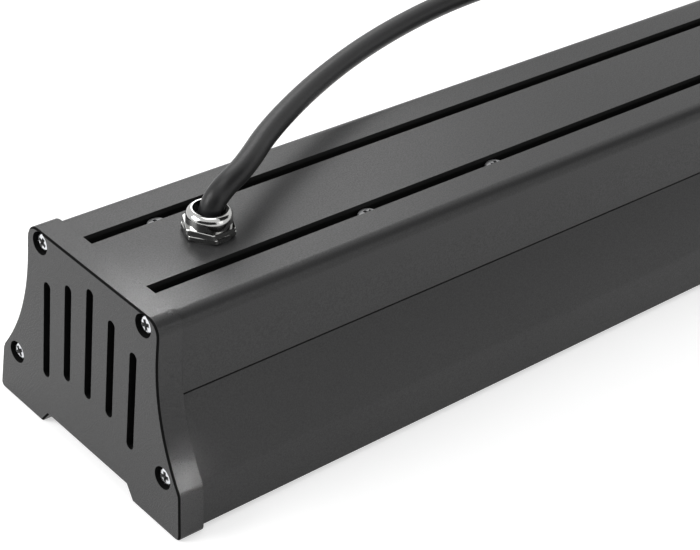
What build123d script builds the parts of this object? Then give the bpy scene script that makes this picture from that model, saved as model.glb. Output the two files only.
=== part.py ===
from build123d import *
import math
import os

os.makedirs("parts", exist_ok=True)

# A linear high bay light that rests on the feet of its two end caps.
# X runs along its length, Y across it, and Z = 0 is the underside of the feet.

# Overall sizes and the upper housing's section
overall_length = 600
cap_thickness = 12
body_top = 91.1
body_half = 42.2
body_corner = 6
seam_z = 55
seam_half = 42.9
wall = 2.2
inner_corner = 3

# T-slots along the top
slot_y = 20.9
slot_mouth = 6
slot_width = 10.6
slot_depth = 7
slot_lip = 2.2
slot_wall = 1.8

# Lower housing: skirts that flare out, and the plate that carries the lamps
skirt_break_half = 57.9
skirt_break_z = 21.5
skirt_lean = 3.5
skirt_foot_z = 2.3
flare_radius = 190
break_radius = 14
carrier_bottom = 42.5
carrier_thickness = 3.5
fin_pitch = 12
fin_count = 6
fin_height = 5
fin_thickness = 1.6
tongue_thickness = 1.8
tongue_height = 6
seam_groove = 0.5

# End caps
cap_rise = 1.5
cap_proud = 1.3
cap_corner = 6.5
cap_flare_top = 78
cap_shoulder_proud = 3.3
cap_shoulder_z = 22.2
cap_shoulder_radius = 6
cap_foot_proud = 1.6
cap_foot_radius = 2.8
cap_face = 3.5
cap_edge = 0.8
notch_height = 6
notch_half = 27.5
notch_run = 4.5
vent_width = 4.5
vent_pitch = 14.46
vent_spans = {0: (31.8, 84.3), 1: (31.8, 77.9), 2: (25.1, 71.4)}
pocket_depth = cap_thickness - cap_face
pocket_rim = 6.5
pocket_margin = 2
pocket_corner = 16

# Cap screws, their recesses and the ports that take them
cap_screw_radius = 2
cap_screw_length = 20
cap_screw_head_radius = 3.9
cap_screw_head_height = 2.8
recess_radius = 4.95
recess_depth = 3.9
recess_wall = 1.6
port_radius = 3.8
lower_port_radius = 4.4
port_clearance = 0.05
upper_screw_y = 34.2
upper_screw_drop = 3.9
lower_screw_inset = 7.5
lower_screw_rise = 3.2

# Cable gland
gland_inset = 57.4
gland_thread_radius = 8
gland_hole_clearance = 0.2
gland_bore = 5.3
gland_flats = 20
body_hex_turn = 9
nut_hex_turn = 1.3
gasket_height = 0.5
body_hex_height = 2
nut_hex_height = 2.5
dome_radius = 9.6
dome_height = 6.2
dome_round = 3.2
gland_mouth = 7.3
nut_bore = 8.1
spigot_radius = 7.9
spigot_height = 2.2
thread_below = 6
locknut_height = 3
locknut_flats = 21
seal_height = 1.6

# Driver bay
driver_size = (180, 59, 24)
driver_inset = 72.5
bracket_length = 95
bracket_thickness = 3
bracket_flange = 12
bracket_wall = 2
fit_gap = 0.3
bracket_screw_inset = 126.4
bracket_screw_pitch = 75.5
terminal_size = (32, 20, 12.3)
terminal_screw_inset = 48.3
terminal_overhang = 7
slot_screw_radius = 2.5
slot_screw_head_radius = 4.9
slot_screw_head_height = 3.6
slot_screw_reach = 2.7
lead_radius = 1.2
lead_pitch = 5
output_lead_inset = 20
output_lead_x = 16
output_lead_bend = 4

# Lamp modules
module_end_gap = 3
module_half_width = 42
module_gap = 2
lens_thickness = 5.5
board_end_margin = 8
board_half_width = 32
board_thickness = 1.6
board_clearance = 0.5
chip_size = 5
chip_height = 1
chip_room = 0.8
seal_inset = 2.2
seal_width = 3
seal_depth = 1.5
dome_pitch = 33
lens_row_y = 16.5
lens_dome_radius = 14
lens_dome_height = 5.5
lens_screw_y = 39.8
lens_screw_inset = 17
lens_screw_radius = 1.45
lens_screw_head_radius = 2.8
lens_screw_head_height = 2
lens_screw_clearance = 0.1

# Supply cable and its coil
cable_radius = 5
coil_run = 576.6
coil_y = 134.6
coil_radius = 53.6
coil_base = 1.6
coil_height = 34.4
coil_slack = 0.5
coil_round = 4.5
coil_tail = 39
coil_end_z = 30.8
coil_end_tail = 37
tie_width = 9
tie_thickness = 1.2
core_radius = 1.6
core_spread = 2.6
core_length = 36
ferrule_radius = 1.1
ferrule_length = 9

# Sizes that follow
gland_end = -overall_length / 2
gland_x = gland_end + gland_inset
housing_length = overall_length - 2 * cap_thickness
housing_end = housing_length / 2
skirt_half = skirt_break_half + skirt_lean
cap_top = body_top + cap_rise
slot_floor = body_top - slot_depth
slot_block_half = slot_width / 2 + slot_wall
slot_block_bottom = slot_floor - slot_wall
carrier_top = carrier_bottom + carrier_thickness
upper_screw_z = body_top - upper_screw_drop
lower_screw_y = skirt_break_half - lower_screw_inset
lower_screw_z = skirt_break_z + lower_screw_rise
upper_screw_points = [(side * upper_screw_y, upper_screw_z) for side in (-1, 1)]
lower_screw_points = [(side * lower_screw_y, lower_screw_z) for side in (-1, 1)]
cap_screw_points = upper_screw_points + lower_screw_points
bracket_x = gland_end + bracket_screw_inset + bracket_screw_pitch / 2
bracket_screw_points = [(bracket_x + side * bracket_screw_pitch / 2, -slot_y) for side in (-1, 1)]
terminal_screw_x = gland_end + terminal_screw_inset
terminal_screw_point = (terminal_screw_x, slot_y)
slot_screw_points = bracket_screw_points + [terminal_screw_point]
module_half_length = (housing_end - module_gap / 2 - module_end_gap) / 2
module_xs = [-(module_half_length + module_gap / 2), module_half_length + module_gap / 2]
board_half_length = module_half_length - board_end_margin
dome_columns = int(2 * board_half_length // dome_pitch)
lens_screw_x = module_half_length - lens_screw_inset
lens_screw_points = [(x, y) for x in (-lens_screw_x, 0, lens_screw_x) for y in (-lens_screw_y, lens_screw_y)]
driver_start = gland_end + driver_inset
driver_far_end = driver_start + driver_size[0]
output_lead_xs = [driver_far_end - output_lead_inset, output_lead_x]
hex_base = body_top + gasket_height
nut_base = hex_base + body_hex_height
nut_hex_top = nut_base + nut_hex_height
gland_top = nut_hex_top + dome_height


# The flared outline between two heights, moved in by inset from the outer face
def skirt_face(inset, low, high):
    with BuildSketch() as face:
        with BuildLine() as half:
            flare = RadiusArc(
                (seam_half - inset, seam_z), (skirt_break_half - inset, skirt_break_z), flare_radius
            )
            Polyline(flare @ 1, (skirt_half - inset, 0), (0, 0), (0, seam_z), flare @ 0)
        make_face()
        fillet(face.vertices().sort_by_distance((skirt_break_half - inset, skirt_break_z))[0], break_radius)
        mirror(about=Plane.YZ)
        with Locations((0, (low + high) / 2)):
            Rectangle(2 * skirt_half, high - low, mode=Mode.INTERSECT)
    return face.sketch


# Upper housing: driver bay, T-slots and two screw ports
with BuildPart() as upper_housing:
    with BuildSketch(Plane.YZ.offset(-housing_end)) as upper_section:
        with BuildLine():
            Polyline(
                (-seam_half, seam_z),
                (-body_half, body_top),
                (body_half, body_top),
                (seam_half, seam_z),
                close=True,
            )
        make_face()
        fillet(upper_section.vertices().group_by(Axis.Y)[-1], body_corner)
        with BuildSketch(mode=Mode.SUBTRACT) as bay:
            with BuildLine():
                Polyline(
                    (-(seam_half - wall), seam_z),
                    (-(body_half - wall), body_top - wall),
                    (body_half - wall, body_top - wall),
                    (seam_half - wall, seam_z),
                    close=True,
                )
            make_face()
            fillet(bay.vertices().group_by(Axis.Y)[-1], inner_corner)
        with Locations(*[(y, (body_top + slot_block_bottom) / 2) for y in (-slot_y, slot_y)]):
            Rectangle(2 * slot_block_half, body_top - slot_block_bottom)
        with Locations(*[(y, slot_floor) for y in (-slot_y, slot_y)]):
            Rectangle(
                slot_width, slot_depth - slot_lip, align=(Align.CENTER, Align.MIN), mode=Mode.SUBTRACT
            )
            Rectangle(slot_mouth, slot_depth, align=(Align.CENTER, Align.MIN), mode=Mode.SUBTRACT)
        with Locations(*upper_screw_points):
            Circle(port_radius)
            Circle(cap_screw_radius + port_clearance, mode=Mode.SUBTRACT)
    extrude(amount=housing_length)
    with BuildSketch(Plane.XY.offset(slot_floor)):
        with Locations(*slot_screw_points):
            Circle(slot_screw_radius + port_clearance)
    extrude(amount=-slot_wall, mode=Mode.SUBTRACT)
    with BuildSketch(Plane.XY.offset(body_top)):
        with Locations((gland_x, 0)):
            Circle(gland_thread_radius + gland_hole_clearance)
    extrude(amount=-wall, mode=Mode.SUBTRACT)

# Lower housing: skirts, carrier plate, cooling fins and the tongues that line up the two halves
with BuildPart() as lower_housing:
    with BuildSketch(Plane.YZ.offset(-housing_end)):
        add(skirt_face(0, skirt_foot_z, seam_z))
        add(skirt_face(wall, 0, carrier_bottom), mode=Mode.SUBTRACT)
        add(skirt_face(wall, carrier_top, seam_z), mode=Mode.SUBTRACT)
        tongue_centre = seam_half - wall - fit_gap - tongue_thickness / 2
        with Locations(*[(side * tongue_centre, carrier_top) for side in (-1, 1)]):
            Rectangle(
                tongue_thickness, seam_z + tongue_height - carrier_top, align=(Align.CENTER, Align.MIN)
            )
        with Locations((0, carrier_top)):
            with GridLocations(fin_pitch, 0, fin_count, 1):
                Rectangle(fin_thickness, fin_height, align=(Align.CENTER, Align.MIN))
        with Locations(*[(side * seam_half, seam_z) for side in (-1, 1)]):
            Rectangle(wall, 2 * seam_groove, mode=Mode.SUBTRACT)
        with Locations(*lower_screw_points):
            Circle(lower_port_radius)
            Circle(cap_screw_radius + port_clearance, mode=Mode.SUBTRACT)
    extrude(amount=housing_length)
    with BuildSketch(Plane.XY.offset(carrier_bottom)):
        for module_x in module_xs:
            with Locations(*[(module_x + x, y) for x, y in lens_screw_points]):
                Circle(lens_screw_radius + port_clearance)
        with Locations(*[(x, 0) for x in output_lead_xs]):
            Circle(lead_radius + fit_gap)
    extrude(amount=carrier_thickness, mode=Mode.SUBTRACT)

# End cap of the gland end: one casting with feet, vents, a pocket and four screw bosses
with BuildPart() as gland_end_cap:
    outer_face = Plane.YZ.offset(gland_end)
    cap_half = body_half + cap_proud
    shoulder = (skirt_break_half + cap_shoulder_proud, cap_shoulder_z)
    foot_half = skirt_half + cap_foot_proud
    with BuildSketch(outer_face) as cap_outline:
        with BuildLine():
            side_line = Line((cap_half, cap_top), (cap_half, cap_flare_top))
            flank = TangentArc(side_line @ 1, shoulder, tangent=(0, -1))
            Polyline(
                flank @ 1,
                (foot_half, 0),
                (notch_half + notch_run, 0),
                (notch_half, notch_height),
                (0, notch_height),
                (0, cap_top),
                side_line @ 0,
            )
        make_face()
        fillet(cap_outline.vertices().sort_by_distance((cap_half, cap_top))[0], cap_corner)
        fillet(cap_outline.vertices().sort_by_distance(shoulder)[0], cap_shoulder_radius)
        fillet(cap_outline.vertices().sort_by_distance((foot_half, 0))[0], cap_foot_radius)
        mirror(about=Plane.YZ)
    extrude(amount=cap_thickness)
    chamfer(gland_end_cap.faces().sort_by(Axis.X)[0].outer_wire().edges(), cap_edge)
    pocket_side = body_half - wall - pocket_margin
    with BuildSketch(Plane.YZ.offset(-housing_end)) as pocket:
        with BuildLine():
            Polyline(
                (0, notch_height + pocket_rim),
                (pocket_side, notch_height + pocket_rim),
                (pocket_side, cap_top - pocket_corner),
                (upper_screw_y - recess_radius - recess_wall, cap_top - pocket_rim),
                (0, cap_top - pocket_rim),
                close=True,
            )
        make_face()
        mirror(about=Plane.YZ)
        with Locations(*cap_screw_points):
            Circle(recess_radius + recess_wall, mode=Mode.SUBTRACT)
    extrude(amount=-pocket_depth, mode=Mode.SUBTRACT)
    with BuildSketch(outer_face):
        for side in (-1, 1):
            for step, (low, high) in vent_spans.items():
                with Locations((side * step * vent_pitch, (low + high) / 2)):
                    SlotOverall(high - low, vent_width, rotation=90)
    extrude(amount=cap_face, mode=Mode.SUBTRACT)
    with BuildSketch(outer_face):
        with Locations(*cap_screw_points):
            Circle(recess_radius)
    extrude(amount=recess_depth, mode=Mode.SUBTRACT)
    with BuildSketch(outer_face):
        with Locations(*cap_screw_points):
            Circle(cap_screw_radius + 3 * port_clearance)
    extrude(amount=cap_thickness, mode=Mode.SUBTRACT)

with BuildPart() as far_end_cap:
    mirror(gland_end_cap.part, about=Plane.YZ)

# Cap screws: pan heads at the bottom of their recesses
with BuildPart() as gland_end_cap_screws:
    with BuildSketch(Plane.YZ.offset(gland_end + recess_depth)):
        with Locations(*cap_screw_points):
            Circle(cap_screw_head_radius)
    extrude(amount=-cap_screw_head_height)
    head_rims = gland_end_cap_screws.faces().group_by(Axis.X)[0].edges()
    fillet(head_rims, cap_screw_head_height * 0.45)
    with BuildSketch(Plane.YZ.offset(gland_end + recess_depth)):
        with Locations(*cap_screw_points):
            Circle(cap_screw_radius)
    extrude(amount=cap_screw_length)

with BuildPart() as far_end_cap_screws:
    mirror(gland_end_cap_screws.part, about=Plane.YZ)

# Slot screws: pan heads that sit on the floors of the T-slots
with BuildPart() as slot_screws:
    with BuildSketch(Plane.XY.offset(slot_floor)):
        with Locations(*slot_screw_points):
            Circle(slot_screw_head_radius)
    extrude(amount=slot_screw_head_height)
    fillet(slot_screws.faces().group_by(Axis.Z)[-1].edges(), slot_screw_head_height * 0.45)
    with BuildSketch(Plane.XY.offset(slot_floor)):
        with Locations(*slot_screw_points):
            Circle(slot_screw_radius)
    extrude(amount=-(slot_wall + slot_screw_reach))

# Cable gland, from the gasket up
gland_axis = Plane((gland_x, 0, 0))

with BuildPart() as gland_gasket:
    with BuildSketch(gland_axis.offset(body_top)):
        Circle(gland_flats / 2)
        Circle(gland_thread_radius + port_clearance, mode=Mode.SUBTRACT)
    extrude(amount=gasket_height)

with BuildPart() as gland_body:
    with BuildSketch(gland_axis.offset(hex_base)):
        RegularPolygon(gland_flats / 2, 6, major_radius=False, rotation=body_hex_turn)
    extrude(amount=body_hex_height)
    with BuildSketch(gland_axis.offset(hex_base)):
        Circle(gland_thread_radius)
    extrude(amount=-(gasket_height + thread_below))
    with BuildSketch(gland_axis.offset(nut_base)):
        Circle(spigot_radius)
    extrude(amount=spigot_height)
    with BuildSketch(gland_axis.offset(nut_base + spigot_height)):
        Circle(gland_bore)
    extrude(amount=-(spigot_height + body_hex_height + gasket_height + thread_below), mode=Mode.SUBTRACT)

with BuildPart() as gland_nut:
    with BuildSketch(gland_axis.offset(nut_base)):
        RegularPolygon(gland_flats / 2, 6, major_radius=False, rotation=nut_hex_turn)
    extrude(amount=nut_hex_height)
    with BuildSketch(gland_axis.offset(nut_hex_top)):
        Circle(dome_radius)
    extrude(amount=dome_height)
    fillet(gland_nut.faces().sort_by(Axis.Z)[-1].edges(), dome_round)
    with BuildSketch(gland_axis.offset(nut_base)):
        Circle(nut_bore)
    extrude(amount=spigot_height + port_clearance, mode=Mode.SUBTRACT)
    with BuildSketch(gland_axis.offset(nut_base)):
        Circle(gland_mouth)
    extrude(amount=nut_hex_height + dome_height, mode=Mode.SUBTRACT)

with BuildPart() as gland_seal:
    with BuildSketch(gland_axis.offset(nut_base + spigot_height + port_clearance)):
        Circle(gland_mouth - port_clearance)
        Circle(cable_radius + port_clearance, mode=Mode.SUBTRACT)
    extrude(amount=seal_height)

with BuildPart() as gland_locknut:
    with BuildSketch(gland_axis.offset(body_top - wall)):
        RegularPolygon(locknut_flats / 2, 6, major_radius=False)
        Circle(gland_thread_radius + port_clearance, mode=Mode.SUBTRACT)
    extrude(amount=-locknut_height)

# Driver on its bracket under the T-slots
bracket_top = slot_block_bottom
driver_top = bracket_top - bracket_thickness - fit_gap
bracket_half = driver_size[1] / 2 + fit_gap + bracket_wall

with BuildPart() as driver:
    with Locations((driver_start, 0, driver_top)):
        Box(*driver_size, align=(Align.MIN, Align.CENTER, Align.MAX))
    fillet(driver.edges().filter_by(Axis.X), 3)

with BuildPart() as driver_bracket:
    with BuildSketch(Plane.YZ.offset(bracket_x - bracket_length / 2)):
        with Locations((0, bracket_top)):
            Rectangle(2 * bracket_half, bracket_thickness + bracket_flange, align=(Align.CENTER, Align.MAX))
        with Locations((0, bracket_top - bracket_thickness)):
            Rectangle(
                2 * (bracket_half - bracket_wall),
                bracket_flange,
                align=(Align.CENTER, Align.MAX),
                mode=Mode.SUBTRACT,
            )
    extrude(amount=bracket_length)
    with BuildSketch(Plane.XY.offset(bracket_top)):
        with Locations(*bracket_screw_points):
            Circle(slot_screw_radius + port_clearance)
    extrude(amount=-bracket_thickness, mode=Mode.SUBTRACT)

# Terminal block under the other T-slot, where the supply cable is connected
terminal_side = slot_y - terminal_overhang
with BuildPart() as terminal_block:
    with Locations((terminal_screw_x, terminal_side, slot_block_bottom)):
        Box(*terminal_size, align=(Align.CENTER, Align.MIN, Align.MAX))
    with BuildSketch(Plane.XY.offset(slot_block_bottom)):
        with Locations(terminal_screw_point):
            Circle(slot_screw_radius + port_clearance)
    extrude(amount=-(slot_screw_reach + fit_gap), mode=Mode.SUBTRACT)

terminal_end = terminal_screw_x + terminal_size[0] / 2
lead_z = (slot_block_bottom - terminal_size[2] + driver_top) / 2
with BuildPart() as driver_input_leads:
    with BuildSketch(Plane.YZ.offset(terminal_end)):
        with Locations((terminal_side + terminal_size[1] / 2 - lead_radius, lead_z)):
            with GridLocations(lead_pitch, 0, 3, 1):
                Circle(lead_radius)
    extrude(amount=driver_start - terminal_end)

driver_bottom = driver_top - driver_size[2]
driver_middle = (driver_top + driver_bottom) / 2
with BuildPart() as driver_output_leads:
    with BuildSketch(Plane.XY.offset(driver_bottom)):
        with Locations((output_lead_xs[0], 0)):
            Circle(lead_radius)
    extrude(amount=carrier_bottom - driver_bottom)
    with BuildLine() as output_route:
        FilletPolyline(
            (driver_far_end, 0, driver_middle),
            (output_lead_xs[1], 0, driver_middle),
            (output_lead_xs[1], 0, carrier_bottom),
            radius=output_lead_bend,
        )
    with BuildSketch(Plane(output_route.line @ 0, z_dir=output_route.line % 0)):
        Circle(lead_radius)
    sweep(path=output_route.line)

# Lamp modules: board with its lamps, then a lens plate on a seal
lens_bottom = carrier_bottom - lens_thickness
board_bottom = carrier_bottom - board_thickness
pocket_floor = board_bottom - chip_height - chip_room
seal_half_length = board_half_length + board_clearance + seal_inset
seal_half_width = board_half_width + board_clearance + seal_inset
lens_sphere = (lens_dome_radius**2 + lens_dome_height**2) / (2 * lens_dome_height)

module_parts = {}
for number, module_x in enumerate(module_xs, start=1):
    module_plane = Plane((module_x, 0, 0))

    with BuildPart() as board:
        with BuildSketch(module_plane.offset(carrier_bottom)):
            Rectangle(2 * board_half_length, 2 * board_half_width)
        extrude(amount=-board_thickness)
    module_parts[f"led_board_{number}"] = board

    with BuildPart() as chips:
        with BuildSketch(module_plane.offset(board_bottom)):
            with GridLocations(dome_pitch, 2 * lens_row_y, dome_columns, 2):
                Rectangle(chip_size, chip_size)
        extrude(amount=-chip_height)
    module_parts[f"led_chips_{number}"] = chips

    with BuildPart() as lens:
        with BuildSketch(module_plane.offset(lens_bottom)):
            RectangleRounded(2 * module_half_length, 2 * module_half_width, 4)
        extrude(amount=lens_thickness)
        with BuildSketch(module_plane.offset(carrier_bottom)):
            Rectangle(
                2 * (board_half_length + board_clearance), 2 * (board_half_width + board_clearance)
            )
        extrude(amount=-(carrier_bottom - pocket_floor), mode=Mode.SUBTRACT)
        with BuildSketch(module_plane.offset(carrier_bottom)):
            Rectangle(2 * (seal_half_length + seal_width), 2 * (seal_half_width + seal_width))
            Rectangle(2 * seal_half_length, 2 * seal_half_width, mode=Mode.SUBTRACT)
        extrude(amount=-seal_depth, mode=Mode.SUBTRACT)
        with BuildSketch(Plane((module_x, 0, lens_bottom), x_dir=(1, 0, 0), z_dir=(0, -1, 0))):
            with BuildLine():
                apex = (0, -lens_dome_height)
                rim_arc = RadiusArc((lens_dome_radius, 0), apex, lens_sphere)
                Polyline(rim_arc @ 1, (0, 0), (lens_dome_radius, 0))
            make_face()
        one_dome = revolve(axis=Axis((module_x, 0, 0), (0, 0, 1)), mode=Mode.PRIVATE)
        with GridLocations(dome_pitch, 2 * lens_row_y, dome_columns, 2):
            add(one_dome)
        with BuildSketch(module_plane.offset(lens_bottom)):
            with Locations(*lens_screw_points):
                Circle(lens_screw_radius + lens_screw_clearance)
        extrude(amount=lens_thickness, mode=Mode.SUBTRACT)
    module_parts[f"lens_plate_{number}"] = lens

    with BuildPart() as seal:
        with BuildSketch(module_plane.offset(carrier_bottom)):
            Rectangle(
                2 * (seal_half_length + seal_width - port_clearance),
                2 * (seal_half_width + seal_width - port_clearance),
            )
            Rectangle(
                2 * (seal_half_length + port_clearance),
                2 * (seal_half_width + port_clearance),
                mode=Mode.SUBTRACT,
            )
        extrude(amount=-(seal_depth - port_clearance))
    module_parts[f"lens_seal_{number}"] = seal

    with BuildPart() as screws:
        with BuildSketch(module_plane.offset(lens_bottom)):
            with Locations(*lens_screw_points):
                Circle(lens_screw_head_radius)
        extrude(amount=-lens_screw_head_height)
        with BuildSketch(module_plane.offset(lens_bottom)):
            with Locations(*lens_screw_points):
                Circle(lens_screw_radius)
        extrude(amount=lens_thickness + carrier_thickness - fit_gap)
    module_parts[f"lens_screws_{number}"] = screws

# Supply cable: out of the gland, over the far edge of the housing and down behind it
cable_start = 93
cable_run = [
    (0, 0, cable_start),
    (0, 0, 101.6),
    (6, 1.1, 108.2),
    (22.7, 7, 110.3),
    (52, 25.9, 111.4),
    (103.3, 50.7, 110.7),
    (159.6, 70.7, 109),
    (220.6, 84.4, 106.9),
    (287.6, 90, 103),
    (369.6, 88, 91),
    (434.6, 86, 72),
    (468.6, 84, 47),
    (493.6, 82.8, 24),
    (512.6, 81.6, 9),
    (525.6, 81, 5),
    (537.6, 81, 5),
]
cable_points = [(gland_x + x, y, z) for x, y, z in cable_run]


# The largest arc that each corner's two runs leave room for
def corner_radii(points):
    radii = []
    for before, corner, after in zip(points, points[1:], points[2:]):
        arrive = Vector(*corner) - Vector(*before)
        leave = Vector(*after) - Vector(*corner)
        half_turn = math.radians(arrive.get_angle(leave) / 2)
        radii.append(0.45 * min(arrive.length, leave.length) / math.tan(half_turn))
    return radii


cable_radii = corner_radii(cable_points)
with BuildPart() as supply_cable:
    with BuildLine() as cable_route:
        FilletPolyline(*cable_points, radius=cable_radii)
    with BuildSketch(Plane(cable_route.line @ 0, z_dir=cable_route.line % 0)):
        Circle(cable_radius)
    sweep(path=cable_route.line)

route_length = cable_route.wires()[0].length
print("cable radii", [round(radius, 1) for radius in cable_radii])
print("cable length", round(route_length, 1), "ends heading", cable_route.line % 1)
print("volume ratio", round(supply_cable.part.volume / (math.pi * cable_radius**2 * route_length), 4))

# The same cable inside the gland, down to the terminal block
inner_drop = slot_block_bottom - terminal_size[2] / 2
with BuildPart() as cable_inner_end:
    with BuildLine() as inner_route:
        FilletPolyline(
            (gland_x, 0, cable_start),
            (gland_x, 0, inner_drop),
            (gland_x, terminal_side, inner_drop),
            radius=8,
        )
    with BuildSketch(Plane(inner_route.line @ 0, z_dir=inner_route.line % 0)):
        Circle(cable_radius)
    sweep(path=inner_route.line)

# The put-away coil as the ring that its turns fill, with a tail at each end
coil_x = gland_x + coil_run
tail_start = cable_points[-1][0]
coil_half_width = cable_radius + coil_slack
coil_middle = coil_base + coil_height / 2
with BuildPart() as cable_coil:
    with BuildSketch(Plane((coil_x, coil_y, 0), x_dir=(1, 0, 0), z_dir=(0, -1, 0))) as ring_section:
        with Locations((coil_radius, coil_middle)):
            RectangleRounded(2 * coil_half_width, coil_height, coil_round)
    revolve(axis=Axis((coil_x, coil_y, 0), (0, 0, 1)))
    with BuildSketch(Plane.YZ.offset(tail_start)):
        with Locations((coil_y - coil_radius, cable_radius)):
            Circle(cable_radius)
    extrude(amount=coil_tail)
    with BuildSketch(Plane.YZ.offset(coil_x)):
        with Locations((coil_y + coil_radius, coil_end_z)):
            Circle(cable_radius)
    extrude(amount=-coil_end_tail)

with BuildPart() as coil_tie:
    with BuildSketch(Plane.XZ.offset(-(coil_y - tie_width / 2))):
        with Locations((coil_x + coil_radius, coil_middle)):
            RectangleRounded(
                2 * (coil_half_width + fit_gap + tie_thickness),
                coil_height + 2 * (fit_gap + tie_thickness),
                coil_round + tie_thickness,
            )
            RectangleRounded(
                2 * (coil_half_width + fit_gap), coil_height + 2 * fit_gap, coil_round, mode=Mode.SUBTRACT
            )
    extrude(amount=-tie_width)

# Three stripped cores with their ferrules
core_start = coil_x - coil_end_tail
core_bodies = {}
with BuildPart() as core_ferrules:
    for index, core_name in enumerate(("live_core", "earth_core", "neutral_core")):
        turn = math.radians(90 + 120 * index)
        core_y = coil_y + coil_radius + core_spread * math.cos(turn)
        core_z = coil_end_z + core_spread * math.sin(turn)
        with BuildPart(mode=Mode.PRIVATE) as core:
            with BuildSketch(Plane.YZ.offset(core_start)):
                with Locations((core_y, core_z)):
                    Circle(core_radius)
            extrude(amount=-core_length)
        core_bodies[core_name] = core
        with BuildSketch(Plane.YZ.offset(core_start - core_length)):
            with Locations((core_y, core_z)):
                Circle(ferrule_radius)
        extrude(amount=-ferrule_length)

pieces = {
    "upper_housing": upper_housing,
    "lower_housing": lower_housing,
    "gland_end_cap": gland_end_cap,
    "far_end_cap": far_end_cap,
    "gland_end_cap_screws": gland_end_cap_screws,
    "far_end_cap_screws": far_end_cap_screws,
    "slot_screws": slot_screws,
    "gland_gasket": gland_gasket,
    "gland_body": gland_body,
    "gland_nut": gland_nut,
    "gland_seal": gland_seal,
    "gland_locknut": gland_locknut,
    "driver": driver,
    "driver_bracket": driver_bracket,
    "terminal_block": terminal_block,
    "driver_input_leads": driver_input_leads,
    "driver_output_leads": driver_output_leads,
    "supply_cable": supply_cable,
    "cable_inner_end": cable_inner_end,
    "cable_coil": cable_coil,
    "coil_tie": coil_tie,
    "core_ferrules": core_ferrules,
}
pieces.update(module_parts)
pieces.update(core_bodies)
for name, piece in pieces.items():
    piece.part.label = name
    export_step(piece.part, f"parts/{name}.step")
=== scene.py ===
import math

import bmesh
import bpy
from mathutils import Matrix, Vector


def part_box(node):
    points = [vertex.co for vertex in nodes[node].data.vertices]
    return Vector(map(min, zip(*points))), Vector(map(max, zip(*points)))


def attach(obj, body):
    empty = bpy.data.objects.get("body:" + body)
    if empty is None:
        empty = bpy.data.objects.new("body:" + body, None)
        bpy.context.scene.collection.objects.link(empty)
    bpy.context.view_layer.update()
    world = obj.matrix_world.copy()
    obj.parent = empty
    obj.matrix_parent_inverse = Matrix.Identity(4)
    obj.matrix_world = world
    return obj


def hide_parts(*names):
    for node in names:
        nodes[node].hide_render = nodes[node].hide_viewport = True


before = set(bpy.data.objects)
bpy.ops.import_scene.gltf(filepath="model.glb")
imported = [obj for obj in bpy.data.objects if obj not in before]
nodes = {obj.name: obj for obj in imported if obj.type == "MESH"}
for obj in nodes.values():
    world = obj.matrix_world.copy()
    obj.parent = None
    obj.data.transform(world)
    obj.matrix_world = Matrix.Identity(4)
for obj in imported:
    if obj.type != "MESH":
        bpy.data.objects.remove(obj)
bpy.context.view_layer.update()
scene = bpy.context.scene
scene.view_settings.view_transform = "Standard"
print("frame loaded:", len(nodes), "nodes")

# camera, set to the view of the photograph
cameraSetup = {
    "place": (-0.665954, -0.507246, 0.506369),
    "right": (0.74607, -0.65946, 0.09217),
    "up": (0.30515, 0.46164, 0.83293),
    "back": (-0.59183, -0.59330, 0.54565),
    "lens": 99.68,
    "sensor": 36,
    "clipEnd": 50,
}
cameraData = bpy.data.cameras.new("viewCamera")
cameraData.lens = cameraSetup["lens"]
cameraData.sensor_width = cameraSetup["sensor"]
cameraData.clip_end = cameraSetup["clipEnd"]
camera = bpy.data.objects.new("viewCamera", cameraData)
scene.collection.objects.link(camera)
cameraAxes = (cameraSetup["right"], cameraSetup["up"], cameraSetup["back"], cameraSetup["place"])
camera.matrix_world = Matrix([list(row) for row in zip(*cameraAxes)] + [[0, 0, 0, 1]])
scene.camera = camera
print("camera set")

# shared helpers: node material, mesh to piece, turned body, eased copy
noiseSetup = {"cloudDetail": 4, "grainDetail": 3, "grainLow": 0.35, "grainHigh": 0.65}
easing = {"weld": 2e-6, "flatAngle": 0.4, "sharpAngle": 28, "segments": 2, "profile": 0.5}
turnedWeld = 1e-6


# a value that follows the grain, from start to end
def withGrain(tree, grain, start, end):
    ranged = tree.nodes.new("ShaderNodeMapRange")
    ranged.inputs["From Min"].default_value = noiseSetup["grainLow"]
    ranged.inputs["From Max"].default_value = noiseSetup["grainHigh"]
    ranged.inputs["To Min"].default_value = start
    ranged.inputs["To Max"].default_value = end
    tree.links.new(grain.outputs["Fac"], ranged.inputs["Value"])
    return ranged.outputs["Result"]


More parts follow.
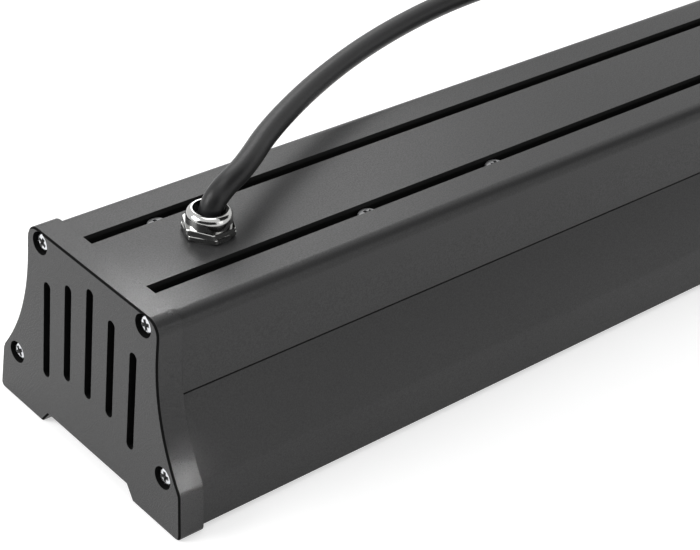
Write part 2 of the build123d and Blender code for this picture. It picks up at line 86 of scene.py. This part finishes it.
def makeFinish(name, look):
    mat = bpy.data.materials.new(name)
    mat.use_nodes = True
    tree = mat.node_tree
    shader = tree.nodes["Principled BSDF"]
    shader.inputs["Metallic"].default_value = look.get("metallic", 0.0)
    shader.inputs["Specular IOR Level"].default_value = look.get("specular", 0.5)
    shader.inputs["Sheen Weight"].default_value = look.get("sheen", 0.0)
    shader.inputs["Transmission Weight"].default_value = look.get("transmission", 0.0)
    shader.inputs["IOR"].default_value = look.get("ior", 1.5)
    coords = tree.nodes.new("ShaderNodeTexCoord").outputs["Object"]

    cloud = tree.nodes.new("ShaderNodeTexNoise")  # slow change of tone
    cloud.inputs["Scale"].default_value = look.get("cloudScale", 30)
    cloud.inputs["Detail"].default_value = noiseSetup["cloudDetail"]
    tree.links.new(coords, cloud.inputs["Vector"])
    tone = tree.nodes.new("ShaderNodeMix")
    tone.data_type = "RGBA"
    tone.inputs["A"].default_value = (*look["dark"], 1)
    tone.inputs["B"].default_value = (*look["light"], 1)
    tree.links.new(cloud.outputs["Fac"], tone.inputs["Factor"])

    grain = tree.nodes.new("ShaderNodeTexNoise")  # the coat's own grain
    grain.inputs["Scale"].default_value = look.get("grainScale", 1200)
    grain.inputs["Detail"].default_value = noiseSetup["grainDetail"]
    tree.links.new(coords, grain.inputs["Vector"])
    spread = look.get("roughSpread", 0.04)
    rough = withGrain(tree, grain, look["roughness"] - spread, look["roughness"] + spread)
    bump = tree.nodes.new("ShaderNodeBump")
    bump.inputs["Strength"].default_value = look.get("bump", 0.1)
    bump.inputs["Distance"].default_value = look.get("bumpDepth", 0.0001)
    tree.links.new(grain.outputs["Fac"], bump.inputs["Height"])

    if "speck" in look:
        most, least = look["specular"] * (1 + look["speck"]), look["specular"] * (1 - look["speck"])
        tree.links.new(withGrain(tree, grain, most, least), shader.inputs["Specular IOR Level"])

    tree.links.new(tone.outputs["Result"], shader.inputs["Base Color"])
    tree.links.new(rough, shader.inputs["Roughness"])
    tree.links.new(bump.outputs["Normal"], shader.inputs["Normal"])
    return mat


def dressNode(node, mat):
    mesh = nodes[node].data
    mesh.materials.clear()
    mesh.materials.append(mat)


def makePiece(bm, name, mat, replaced=(), smoothAngle=35):
    mesh = bpy.data.meshes.new(name)
    bm.to_mesh(mesh)
    bm.free()
    mesh.shade_smooth()
    mesh.set_sharp_from_angle(angle=math.radians(smoothAngle))
    mesh.materials.append(mat)
    piece = bpy.data.objects.new(name, mesh)
    scene.collection.objects.link(piece)
    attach(piece, "root")
    if replaced:
        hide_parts(*replaced)
    return piece


def turnedBody(profile, steps=64):
    bm = bmesh.new()
    verts = [bm.verts.new((radius, 0, height)) for radius, height in profile]
    edges = [bm.edges.new(pair) for pair in zip(verts, verts[1:])]
    bmesh.ops.spin(
        bm, geom=verts + edges, cent=(0, 0, 0), axis=(0, 0, 1), angle=2 * math.pi, steps=steps, use_merge=True
    )
    bmesh.ops.remove_doubles(bm, verts=bm.verts, dist=turnedWeld)
    bmesh.ops.recalc_face_normals(bm, faces=bm.faces)
    return bm


# a copy of a CAD node with its sharp edges eased
def easedCopy(node, width):
    bm = bmesh.new()
    bm.from_mesh(nodes[node].data)
    bmesh.ops.remove_doubles(bm, verts=bm.verts, dist=easing["weld"])
    bmesh.ops.dissolve_limit(
        bm, angle_limit=math.radians(easing["flatAngle"]), verts=bm.verts, edges=bm.edges
    )
    if width:
        sharpAngle = math.radians(easing["sharpAngle"])
        sharp = [e for e in bm.edges if len(e.link_faces) == 2 and e.calc_face_angle() > sharpAngle]
        bmesh.ops.bevel(
            bm,
            geom=sharp,
            offset=width,
            offset_type="OFFSET",
            segments=easing["segments"],
            profile=easing["profile"],
            affect="EDGES",
            material=-1,
            clamp_overlap=True,
        )
    return bm


def keepWeighted(piece):
    weighted = piece.modifiers.new("weighted", "WEIGHTED_NORMAL")
    weighted.keep_sharp = True


# supply cable and its coil: one cord on one spline
cableLook = {
    "dark": (0.009, 0.009, 0.0095),
    "light": (0.014, 0.014, 0.0145),
    "specular": 0.27,
    "roughness": 0.4,
    "grainScale": 900,
    "bump": 0.12,
}
cableSetup = {
    "radius": 0.005,
    "length": 1.5,
    "route": [
        (-0.2426, 0, 0.093),
        (-0.2426, 0, 0.1016),
        (-0.2366, 0.0011, 0.1082),
        (-0.2199, 0.007, 0.1103),
        (-0.1906, 0.0259, 0.1114),
        (-0.1393, 0.0507, 0.1107),
        (-0.083, 0.0707, 0.109),
        (-0.022, 0.0844, 0.1069),
        (0.045, 0.09, 0.103),
        (0.127, 0.088, 0.091),
        (0.192, 0.086, 0.072),
        (0.226, 0.084, 0.047),
        (0.251, 0.0828, 0.024),
        (0.27, 0.0816, 0.009),
        (0.283, 0.081, 0.005),
        (0.295, 0.081, 0.005),
    ],
    "coilCentre": (0.334, 0.1346),
    "coilRadius": 0.0536,
    "coilBottom": 0.005,
    "coilPitch": 0.01032,
    "pointsPerTurn": 16,
    "turns": 2.5,
    "endTail": 0.037,
    "ringSteps": 6,
    "splineOrder": 3,
    "stepsPerPoint": 10,
}
cableFinish = makeFinish("cableRubber", cableLook)
cablePoints = list(cableSetup["route"])
coilX, coilY = cableSetup["coilCentre"]
pointAngle = 2 * math.pi / cableSetup["pointsPerTurn"]
outerRadius = cableSetup["coilRadius"] / math.cos(pointAngle / 2)
for index in range(round(cableSetup["turns"] * cableSetup["pointsPerTurn"])):
    turned = (index + 0.5) * pointAngle
    cablePoints.append(
        (
            coilX + outerRadius * math.sin(turned),
            coilY - outerRadius * math.cos(turned),
            cableSetup["coilBottom"] + cableSetup["coilPitch"] * turned / (2 * math.pi),
        )
    )
cablePoints.append(
    (
        coilX - cableSetup["endTail"],
        coilY + cableSetup["coilRadius"],
        cableSetup["coilBottom"] + cableSetup["coilPitch"] * cableSetup["turns"],
    )
)

cableCurve = bpy.data.curves.new("supplyCable", "CURVE")
cableCurve.dimensions = "3D"
cableCurve.bevel_depth = cableSetup["radius"]
cableCurve.bevel_resolution = cableSetup["ringSteps"]
cableCurve.use_fill_caps = True
cableSpline = cableCurve.splines.new("NURBS")
cableSpline.points.add(len(cablePoints) - 1)
for point, place in zip(cableSpline.points, cablePoints):
    point.co = (*place, 1)
cableSpline.order_u = cableSetup["splineOrder"]
cableSpline.use_endpoint_u = True
cableSpline.resolution_u = cableSetup["stepsPerPoint"]
cableCurve.materials.append(cableFinish)
supplyCable = bpy.data.objects.new("supplyCable", cableCurve)
scene.collection.objects.link(supplyCable)
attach(supplyCable, "root")
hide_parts("supply_cable", "cable_coil")
dressNode("cable_inner_end", cableFinish)

# strap round the coil, and the stripped cores at the cable's end
tieLook = {
    "dark": (0.02, 0.02, 0.02),
    "light": (0.04, 0.04, 0.04),
    "roughness": 0.85,
    "grainScale": 2500,
    "bump": 0.8,
    "bumpDepth": 0.0004,
    "sheen": 0.3,
}
tieEdge = 0.0003
coilTie = makePiece(
    easedCopy("coil_tie", tieEdge), "coilTie", makeFinish("tieFabric", tieLook), ["coil_tie"]
)
coreLooks = {
    "live_core": {"dark": (0.16, 0.06, 0.025), "light": (0.2, 0.08, 0.03), "roughness": 0.4},
    "neutral_core": {"dark": (0.03, 0.11, 0.42), "light": (0.04, 0.14, 0.5), "roughness": 0.4},
    "earth_core": {"dark": (0.25, 0.42, 0.03), "light": (0.6, 0.55, 0.04), "roughness": 0.4},
}
for coreNode, coreLook in coreLooks.items():
    dressNode(coreNode, makeFinish(coreNode + "Finish", coreLook))
ferruleLook = {
    "dark": (0.62, 0.62, 0.62),
    "light": (0.72, 0.72, 0.72),
    "roughness": 0.25,
    "metallic": 1.0,
    "grainScale": 500,
}
dressNode("core_ferrules", makeFinish("ferruleTin", ferruleLook))
print("cable, coil and cores made")

# powder coated housing halves and cast end caps
housingLook = {
    "dark": (0.027, 0.027, 0.0275),
    "light": (0.034, 0.034, 0.0345),
    "specular": 0.28,
    "speck": 0.2,
    "roughness": 0.37,
    "roughSpread": 0.07,
    "grainScale": 1700,
    "bump": 0.3,
    "bumpDepth": 0.00008,
    "cloudScale": 14,
}
capLook = {
    "dark": (0.026, 0.026, 0.0265),
    "light": (0.035, 0.035, 0.0355),
    "specular": 0.31,
    "speck": 0.4,
    "roughness": 0.38,
    "roughSpread": 0.14,
    "grainScale": 2300,
    "bump": 0.45,
    "bumpDepth": 0.0001,
    "cloudScale": 18,
}
# painted shade: near black for the cap's screw recesses, vents and joint, and a painted dark reflection on the
# rim of its face
recessShadeLook = {"dark": (0.006,) * 3, "light": (0.009,) * 3, "specular": 0.02, "roughness": 0.8}
# painted shade in the slots, a little lighter than in the cap's recesses
slotShadeLook = {**recessShadeLook, "dark": (0.022,) * 3, "light": (0.03,) * 3}
housingCoat = makeFinish("housingCoat", housingLook)
capCoat = makeFinish("capCoat", capLook)
recessShadeCoat = makeFinish("paintedShadeInRecess", recessShadeLook)
slotShadeCoat = makeFinish("paintedShadeInSlot", slotShadeLook)

# where painted shade goes: distances in metres, tilts as the normal's share along x
slotLine = {"y": 0.0209, "halfWidth": 0.0056, "low": 0.0835, "high": 0.0908}
capRim = {"inset": 0.0008, "leastTilt": 0.66, "mostTilt": 0.75}
capJoint = {"depth": 0.0116, "leastTilt": 0.3}
capRecess = {"radius": 0.0053, "leastDepth": 0.0002}
capVent = {"depth": 0.0042, "mostTilt": 0.5, "low": 0.025, "high": 0.085, "halfWidth": 0.032}
capScrewSpots = [(-0.0342, 0.0872), (0.0342, 0.0872), (-0.0504, 0.0247), (0.0504, 0.0247)]
shellEdge = {"housing": 0.0002, "cap": 0.00035}
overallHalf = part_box("far_end_cap")[1].x


# faces deep in the slots, which get the painted shade
def inSlotShade(face):
    middle = face.calc_center_median()
    aside = abs(abs(middle.y) - slotLine["y"])
    return slotLine["low"] < middle.z < slotLine["high"] and aside < slotLine["halfWidth"]


# painted shade at the cap's joint, in a screw recess or in a vent, and a painted dark reflection on the rim of
# its face
def inCapShade(face):
    middle = face.calc_center_median()
    depth = overallHalf - abs(middle.x)
    tilt = abs(face.normal.x)
    nearest = min(math.hypot(middle.y - y, middle.z - z) for y, z in capScrewSpots)
    onRim = depth < capRim["inset"] and capRim["leastTilt"] < tilt < capRim["mostTilt"]
    atJoint = depth > capJoint["depth"] and tilt > capJoint["leastTilt"]
    inRecess = nearest < capRecess["radius"] and depth > capRecess["leastDepth"]
    nearVents = capVent["low"] < middle.z < capVent["high"] and abs(middle.y) < capVent["halfWidth"]
    inVent = nearVents and depth < capVent["depth"] and tilt < capVent["mostTilt"]
    return onRim or atJoint or inRecess or inVent


for node, name, mat, slotName, isShaded, shade in (
    ("upper_housing", "upperHousing", housingCoat, "housing", inSlotShade, slotShadeCoat),
    ("lower_housing", "lowerHousing", housingCoat, "housing", inSlotShade, slotShadeCoat),
    ("gland_end_cap", "glandEndCap", capCoat, "cap", inCapShade, recessShadeCoat),
    ("far_end_cap", "farEndCap", capCoat, "cap", inCapShade, recessShadeCoat),
):
    shell = easedCopy(node, shellEdge[slotName])
    for face in shell.faces:
        face.material_index = 1 if isShaded(face) else 0
    piece = makePiece(shell, name, mat, [node])
    piece.data.materials.append(shade)
    keepWeighted(piece)
print("housing and end caps made")

# pan head screws with a cross recess
screwLook = {
    "dark": (0.55, 0.56, 0.58),
    "light": (0.68, 0.69, 0.71),
    "roughness": 0.22,
    "roughSpread": 0.05,
    "metallic": 1.0,
    "grainScale": 700,
    "bump": 0.05,
}
# zinc, with a lighter colour than the cap screws, which is a painted highlight for the heads down in the slots
slotScrewHighlightLook = {**screwLook, "light": (0.9, 0.9, 0.9), "metallic": 0.2, "roughness": 0.3}
# painted shade: a dark finish for the walls and floor of the cross recess
crossShadeLook = {"dark": (0.07, 0.07, 0.071), "light": (0.11, 0.11, 0.111), "roughness": 0.5, "metallic": 0.4}
screwFinish = makeFinish("screwZinc", screwLook)
slotScrewHighlightFinish = makeFinish("slotScrewZincPaintedHighlight", slotScrewHighlightLook)
crossShadeFinish = makeFinish("crossRecessShade", crossShadeLook)
capScrew = {"head": 0.0039, "height": 0.0028, "shank": 0.002, "length": 0.0199, "arm": 0.006, "slit": 0.002}
slotScrew = {"head": 0.0049, "height": 0.0036, "shank": 0.0025, "length": 0.0044, "arm": 0.0066, "slit": 0.0019}
capScrewTurns = (20, 65, 8, 38)
slotScrewBase = 0.0841
slotScrewSpots = [(-0.1736, -1, 30), (-0.0981, -1, 62), (-0.2517, 1, 15)]  # x, side, turn

# outline as shares of the head's radius and height, tip and seat in metres
panHead = {
    "steps": 48,
    "outline": [(0, 1), (0.6, 0.99), (0.8, 0.94), (0.92, 0.82), (0.985, 0.6), (1, 0.3)],
    "seatEdge": (0.99, 0.00005),
    "seat": 0.97,
    "tip": 0.0005,
    "tipShare": 0.8,
}
# cross recess as shares of the head's height and of the cross's arm
crossRecess = {
    "taper": (0.5, 0.6, 1),
    "lift": 0.95,
    "reach": 0.52,
    "rim": 0.97,
    "floor": 0.7,
    "flatTilt": 0.97,
}


def applied(piece):
    graph = bpy.context.evaluated_depsgraph_get()
    mesh = bpy.data.meshes.new_from_object(piece.evaluated_get(graph))
    bm = bmesh.new()
    bm.from_mesh(mesh)
    bpy.data.objects.remove(piece)
    bpy.data.meshes.remove(mesh)
    return bm


def cutWith(bm, cutters):
    mesh = bpy.data.meshes.new("stock")
    bm.to_mesh(mesh)
    bm.free()
    stock = bpy.data.objects.new("stock", mesh)
    scene.collection.objects.link(stock)
    tools = []
    for cutter in cutters:
        toolMesh = bpy.data.meshes.new("tool")
        cutter.to_mesh(toolMesh)
        cutter.free()
        tool = bpy.data.objects.new("tool", toolMesh)
        scene.collection.objects.link(tool)
        cut = stock.modifiers.new("cut", "BOOLEAN")
        cut.operation = "DIFFERENCE"
        cut.object = tool
        cut.solver = "EXACT"
        tools.append(tool)
    bpy.context.view_layer.update()
    bm = applied(stock)
    for tool in tools:
        bpy.data.objects.remove(tool)
    return bm


def crossCutter(screw, turn):
    cutter = bmesh.new()
    bmesh.ops.create_cube(cutter, size=1)
    bmesh.ops.scale(cutter, vec=(screw["arm"], screw["slit"], screw["height"]), verts=cutter.verts)
    low = [v for v in cutter.verts if v.co.z < 0]
    bmesh.ops.scale(cutter, vec=crossRecess["taper"], verts=low)
    bmesh.ops.translate(cutter, vec=(0, 0, screw["height"] * crossRecess["lift"]), verts=cutter.verts)
    turning = Matrix.Rotation(math.radians(turn), 3, "Z")
    bmesh.ops.rotate(cutter, cent=(0, 0, 0), matrix=turning, verts=cutter.verts)
    return cutter


def crossScrew(screw):
    head, height, shank, length = screw["head"], screw["height"], screw["shank"], screw["length"]
    edgeShare, edgeHeight = panHead["seatEdge"]
    profile = [(head * across, height * up) for across, up in panHead["outline"]]
    profile += [(head * edgeShare, edgeHeight), (head * panHead["seat"], 0), (shank, 0)]
    profile += [(shank, -length + panHead["tip"]), (shank * panHead["tipShare"], -length), (0, -length)]
    bm = cutWith(turnedBody(profile, panHead["steps"]), [crossCutter(screw, turn) for turn in (0, 90)])
    # the cross recess's walls and floor get the painted shade
    for face in bm.faces:
        middle = face.calc_center_median()
        nearCross = math.hypot(middle.x, middle.y) < screw["arm"] * crossRecess["reach"]
        inCross = nearCross and 0 < middle.z < height * crossRecess["rim"]
        isWall = face.normal.z < crossRecess["flatTilt"] or middle.z < height * crossRecess["floor"]
        face.material_index = 1 if inCross and isWall else 0
    mesh = bpy.data.meshes.new("crossScrew")
    bm.to_mesh(mesh)
    bm.free()
    return mesh


def screwSet(mesh, places):
    bm = bmesh.new()
    for place in places:
        before = len(bm.verts)
        bm.from_mesh(mesh)
        bm.verts.ensure_lookup_table()
        bmesh.ops.transform(bm, matrix=place, verts=bm.verts[before:])
    return bm


capScrewMesh = crossScrew(capScrew)
for end, name in ((-1, "gland_end_cap_screws"), (1, "far_end_cap_screws")):
    low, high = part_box(name)
    headBase = low.x + capScrew["height"] if end < 0 else high.x - capScrew["height"]
    facing = Matrix.Rotation(math.radians(90 * end), 4, "Y")
    places = []
    for (y, z), turn in zip(capScrewSpots, capScrewTurns):
        turning = Matrix.Rotation(math.radians(turn), 4, "Z")
        places.append(Matrix.Translation((headBase, y, z)) @ facing @ turning)
    capScrews = makePiece(
        screwSet(capScrewMesh, places), name + "Turned", screwFinish, [name], smoothAngle=30
    )
    capScrews.data.materials.append(crossShadeFinish)

slotScrewMesh = crossScrew(slotScrew)
slotScrewPlaces = []
for x, side, turn in slotScrewSpots:
    place = Matrix.Translation((x, side * slotLine["y"], slotScrewBase))
    slotScrewPlaces.append(place @ Matrix.Rotation(math.radians(turn), 4, "Z"))
slotScrews = makePiece(
    screwSet(slotScrewMesh, slotScrewPlaces),
    "slotScrewsTurned",
    slotScrewHighlightFinish,
    ["slot_screws"],
    smoothAngle=30,
)
slotScrews.data.materials.append(crossShadeFinish)
print("screws made")

# cable gland: body with its hexagon, domed nut, gasket, locknut and seal
gland = {
    "x": -0.2426,
    "flats": 0.02,
    "bodyTurn": 9,
    "nutTurn": 1.3,
    "hexBase": 0.0916,
    "nutBase": 0.0936,
    "nutHexTop": 0.0961,
    "top": 0.1023,
    "domeRadius": 0.0096,
    "domeBend": 0.0032,
    "domeSteps": 8,
    "mouth": 0.0073,
    "mouthEdge": 0.0003,
    "bore": 0.0053,
    "neck": (0.0079, 0.0022),
    "thread": (0.008, 0.006),
    "threadTip": (0.0077, 0.0065),
    "bodyHexBore": 0.0075,
    "nutHexBore": 0.0081,
    "sink": 0.0001,
    "nutSteps": 96,
}
hexShape = {
    "steps": 96,
    "faceShare": 0.96,
    "edgeShare": 0.978,
    "edge": 0.0002,
    "cornerStart": 1.11,
    "cornerAngle": 30,
}
nickelLook = {
    "dark": (0.44, 0.44, 0.43),
    "light": (0.52, 0.52, 0.51),
    "roughness": 0.12,
    "roughSpread": 0.05,
    "metallic": 1.0,
    "grainScale": 420,
    "bump": 0.04,
    "cloudScale": 120,
}
sealLook = {"dark": (0.03, 0.03, 0.03), "light": (0.05, 0.05, 0.05), "roughness": 0.6, "bump": 0.3}
nickelFinish = makeFinish("glandNickel", nickelLook)
sealFinish = makeFinish("sealRubber", sealLook)


# a hexagon ring from z low to high, its corners turned down on one side
def hexRing(bm, low, high, inner, turn, isTopTurned):
    halfFlat = gland["flats"] / 2
    middle = (low + high) / 2
    slope = math.tan(math.radians(hexShape["cornerAngle"]))
    rings = []
    for z, radius, isHex in (
        (high, inner, False),
        (high, halfFlat * hexShape["faceShare"], False),
        (high, halfFlat * hexShape["edgeShare"], True),
        (high - hexShape["edge"], halfFlat, True),
        (low + hexShape["edge"], halfFlat, True),
        (low, halfFlat * hexShape["edgeShare"], True),
        (low, halfFlat * hexShape["faceShare"], False),
        (low, inner, False),
    ):
        made = bmesh.ops.create_circle(bm, cap_ends=False, radius=1, segments=hexShape["steps"])["verts"]
        for vert in made:
            angle = math.atan2(vert.co.y, vert.co.x)
            reach = radius
            drop = 0.0
            if isHex:
                flatAngle = (angle - math.radians(turn)) % (math.pi / 3) - math.pi / 6
                reach = radius / math.cos(flatAngle)
            if isHex and (z > middle) == isTopTurned:
                fall = max(0.0, reach - halfFlat * hexShape["cornerStart"]) * slope
                drop = -fall if isTopTurned else fall
            vert.co = (reach * math.cos(angle), reach * math.sin(angle), z + drop)
        rings.append([e for e in bm.edges if e.verts[0] in made and e.verts[1] in made])
    for upper, lower in zip(rings, rings[1:]):
        bmesh.ops.bridge_loops(bm, edges=upper + lower)
    bmesh.ops.recalc_face_normals(bm, faces=bm.faces)


neckRadius, neckHeight = gland["neck"]
threadRadius, threadLength = gland["thread"]
tipRadius, tipDepth = gland["threadTip"]
bodyPiece = turnedBody(
    [
        (gland["bore"], gland["nutBase"] + neckHeight),
        (neckRadius, gland["nutBase"] + neckHeight),
        (neckRadius, gland["nutBase"] - gland["sink"]),
        (threadRadius, gland["hexBase"]),
        (threadRadius, gland["hexBase"] - threadLength),
        (tipRadius, gland["hexBase"] - tipDepth),
        (gland["bore"], gland["hexBase"] - tipDepth),
        (gland["bore"], gland["nutBase"] + neckHeight),
    ]
)
hexRing(bodyPiece, gland["hexBase"], gland["nutBase"], gland["bodyHexBore"], gland["bodyTurn"], False)
bmesh.ops.translate(bodyPiece, vec=(gland["x"], 0, 0), verts=bodyPiece.verts)
makePiece(bodyPiece, "glandBody", nickelFinish, ["gland_body"], smoothAngle=30)

dome = []
for step in range(gland["domeSteps"]):
    bend = math.radians(90 * step / gland["domeSteps"])
    dome.append(
        (
            gland["domeRadius"] - gland["domeBend"] + gland["domeBend"] * math.cos(bend),
            gland["top"] - gland["domeBend"] + gland["domeBend"] * math.sin(bend),
        )
    )
nutPiece = turnedBody(
    [
        (gland["domeRadius"], gland["nutHexTop"] - gland["sink"]),
        *dome,
        (gland["mouth"] + gland["mouthEdge"], gland["top"]),
        (gland["mouth"], gland["top"] - gland["mouthEdge"]),
        (gland["mouth"], gland["nutHexTop"] - gland["sink"]),
    ],
    gland["nutSteps"],
)
hexRing(nutPiece, gland["nutBase"], gland["nutHexTop"], gland["nutHexBore"], gland["nutTurn"], True)
bmesh.ops.translate(nutPiece, vec=(gland["x"], 0, 0), verts=nutPiece.verts)
makePiece(nutPiece, "glandNut", nickelFinish, ["gland_nut"], smoothAngle=30)
dressNode("gland_locknut", nickelFinish)
dressNode("gland_gasket", sealFinish)
dressNode("gland_seal", sealFinish)
print("gland made")

# driver bay
driverLook = {"dark": (0.5, 0.5, 0.51), "light": (0.62, 0.62, 0.63), "roughness": 0.35, "metallic": 1.0}
bracketLook = {"dark": (0.5, 0.5, 0.48), "light": (0.64, 0.63, 0.6), "roughness": 0.4, "metallic": 1.0}
terminalLook = {"dark": (0.7, 0.7, 0.67), "light": (0.8, 0.8, 0.77), "roughness": 0.5}
leadLook = {"dark": (0.5, 0.03, 0.02), "light": (0.6, 0.05, 0.03), "roughness": 0.45}
leadFinish = makeFinish("leadSilicone", leadLook)
dressNode("driver", makeFinish("driverCase", driverLook))
dressNode("driver_bracket", makeFinish("bracketZinc", bracketLook))
dressNode("terminal_block", makeFinish("terminalPlastic", terminalLook))
dressNode("driver_input_leads", leadFinish)
dressNode("driver_output_leads", leadFinish)

# lamp modules
lensLook = {
    "dark": (0.9, 0.93, 0.94),
    "light": (0.95, 0.97, 0.98),
    "roughness": 0.08,
    "roughSpread": 0.02,
    "transmission": 0.85,
    "ior": 1.49,
    "bump": 0.02,
}
boardLook = {"dark": (0.75, 0.76, 0.74), "light": (0.83, 0.84, 0.82), "roughness": 0.4}
chipLook = {"dark": (0.75, 0.55, 0.08), "light": (0.85, 0.66, 0.12), "roughness": 0.3}
lensFinish = makeFinish("lensClear", lensLook)
boardFinish = makeFinish("boardMask", boardLook)
chipFinish = makeFinish("chipPhosphor", chipLook)
for number in ("1", "2"):
    lensNode = "lens_plate_" + number
    makePiece(easedCopy(lensNode, 0), "lensPlate" + number, lensFinish, [lensNode], smoothAngle=25)
    dressNode("led_board_" + number, boardFinish)
    dressNode("led_chips_" + number, chipFinish)
    dressNode("lens_seal_" + number, sealFinish)
    dressNode("lens_screws_" + number, screwFinish)
print("driver and lamp modules dressed")

# studio: white floor and surround, four soft lamps, two narrow ones and two cards
studio = {
    "worldLight": 0.45,
    "lamps": [
        {"name": "backLamp", "place": (0.32, 0.72, 0.76), "aim": (-0.2, 0, 0.09), "size": 0.5, "power": 2.2},
        {"name": "topLamp", "place": (-0.15, 0.12, 1), "aim": (-0.2, 0, 0.09), "size": 0.5, "power": 2},
        {"name": "leftLamp", "place": (-1.1, 0.45, 0.7), "aim": (-0.32, 0.05, 0.03), "size": 0.7, "power": 11},
        {"name": "sideLamp", "place": (0.1, -1.3, 0.5), "aim": (0, -0.06, 0.05), "size": 0.8, "power": 2.2},
        {
            "name": "cornerLamp",
            "place": (-0.13, 0.19, 0.288),
            "aim": (-0.304, -0.045, 0.092),
            "size": 0.04,
            "power": 0.0009,
            "spread": 9,
        },
        {
            "name": "flareLamp",
            "place": (-0.171, -0.262, 0.1025),
            "aim": (-0.296, -0.058, 0.027),
            "size": 0.014,
            "power": 0.0007,
            "spread": 8,
        },
    ],
    "cards": {
        "overCard": [(0.05, -0.05, 0.94), (1.4, -0.05, 0.94), (1.4, -0.74, 0.63), (0.05, -0.74, 0.63)],
        "behindCard": [(-2.2, 0.2, 0.2), (0.2, -2.2, 0.2), (0.2, -2.2, 1.3), (-2.2, 0.2, 1.3)],
    },
}
world = bpy.data.worlds.new("studioWorld")
scene.world = world
world.use_nodes = True


# 1 where the surround is seen, straight on or in gloss or glass
def seenMask(tree):
    pathInfo = tree.nodes.new("ShaderNodeLightPath")
    mask = pathInfo.outputs["Is Camera Ray"]
    for output in ("Is Glossy Ray", "Is Transmission Ray"):
        either = tree.nodes.new("ShaderNodeMath")
        either.operation = "MAXIMUM"
        tree.links.new(mask, either.inputs[0])
        tree.links.new(pathInfo.outputs[output], either.inputs[1])
        mask = either.outputs["Value"]
    return mask


def makeStage(bm, name, mat):
    mesh = bpy.data.meshes.new(name)
    bm.to_mesh(mesh)
    bm.free()
    mesh.materials.append(mat)
    stagePiece = bpy.data.objects.new(name, mesh)
    scene.collection.objects.link(stagePiece)
    return stagePiece


worldTree = world.node_tree
backdrop = worldTree.nodes["Background"]
backdrop.inputs["Color"].default_value = (1, 1, 1, 1)
level = worldTree.nodes.new("ShaderNodeMapRange")
level.inputs["To Min"].default_value = studio["worldLight"]
level.inputs["To Max"].default_value = 1.0
worldTree.links.new(seenMask(worldTree), level.inputs["Value"])
worldTree.links.new(level.outputs["Result"], backdrop.inputs["Strength"])

# floor, lifted to white where it is seen
floorLook = {"dark": (0.65,) * 3, "light": (0.67,) * 3, "roughness": 0.8, "specular": 0.0, "bump": 0.0}
floorSetup = {"size": 12, "lift": 0.55}
floorPaper = makeFinish("floorPaper", floorLook)
paperTree = floorPaper.node_tree
lift = paperTree.nodes.new("ShaderNodeMath")
lift.operation = "MULTIPLY"
lift.inputs[1].default_value = floorSetup["lift"]
paperTree.links.new(seenMask(paperTree), lift.inputs[0])
paperShader = paperTree.nodes["Principled BSDF"]
paperShader.inputs["Emission Color"].default_value = (1, 1, 1, 1)
paperTree.links.new(lift.outputs["Value"], paperShader.inputs["Emission Strength"])
floorMesh = bmesh.new()
bmesh.ops.create_grid(floorMesh, x_segments=1, y_segments=1, size=floorSetup["size"] / 2)
floor = makeStage(floorMesh, "floor", floorPaper)

# dark cards, seen in gloss only
cardLook = {"dark": (0.01, 0.01, 0.01), "light": (0.015, 0.015, 0.015), "roughness": 0.9}
cardPaper = makeFinish("cardPaper", cardLook)
for cardName, corners in studio["cards"].items():
    cardMesh = bmesh.new()
    cardMesh.faces.new([cardMesh.verts.new(corner) for corner in corners])
    card = makeStage(cardMesh, cardName, cardPaper)
    card.visible_camera = False
    card.visible_diffuse = False
    card.visible_shadow = False

for lamp in studio["lamps"]:
    lampData = bpy.data.lights.new(lamp["name"], "AREA")
    lampData.size = lamp["size"]
    lampData.spread = math.radians(lamp.get("spread", 180))
    lampData.energy = lamp["power"]
    lampObject = bpy.data.objects.new(lamp["name"], lampData)
    scene.collection.objects.link(lampObject)
    heading = Vector(lamp["aim"]) - Vector(lamp["place"])
    lampObject.location = lamp["place"]
    lampObject.rotation_euler = heading.to_track_quat("-Z", "Y").to_euler()
print("studio set")
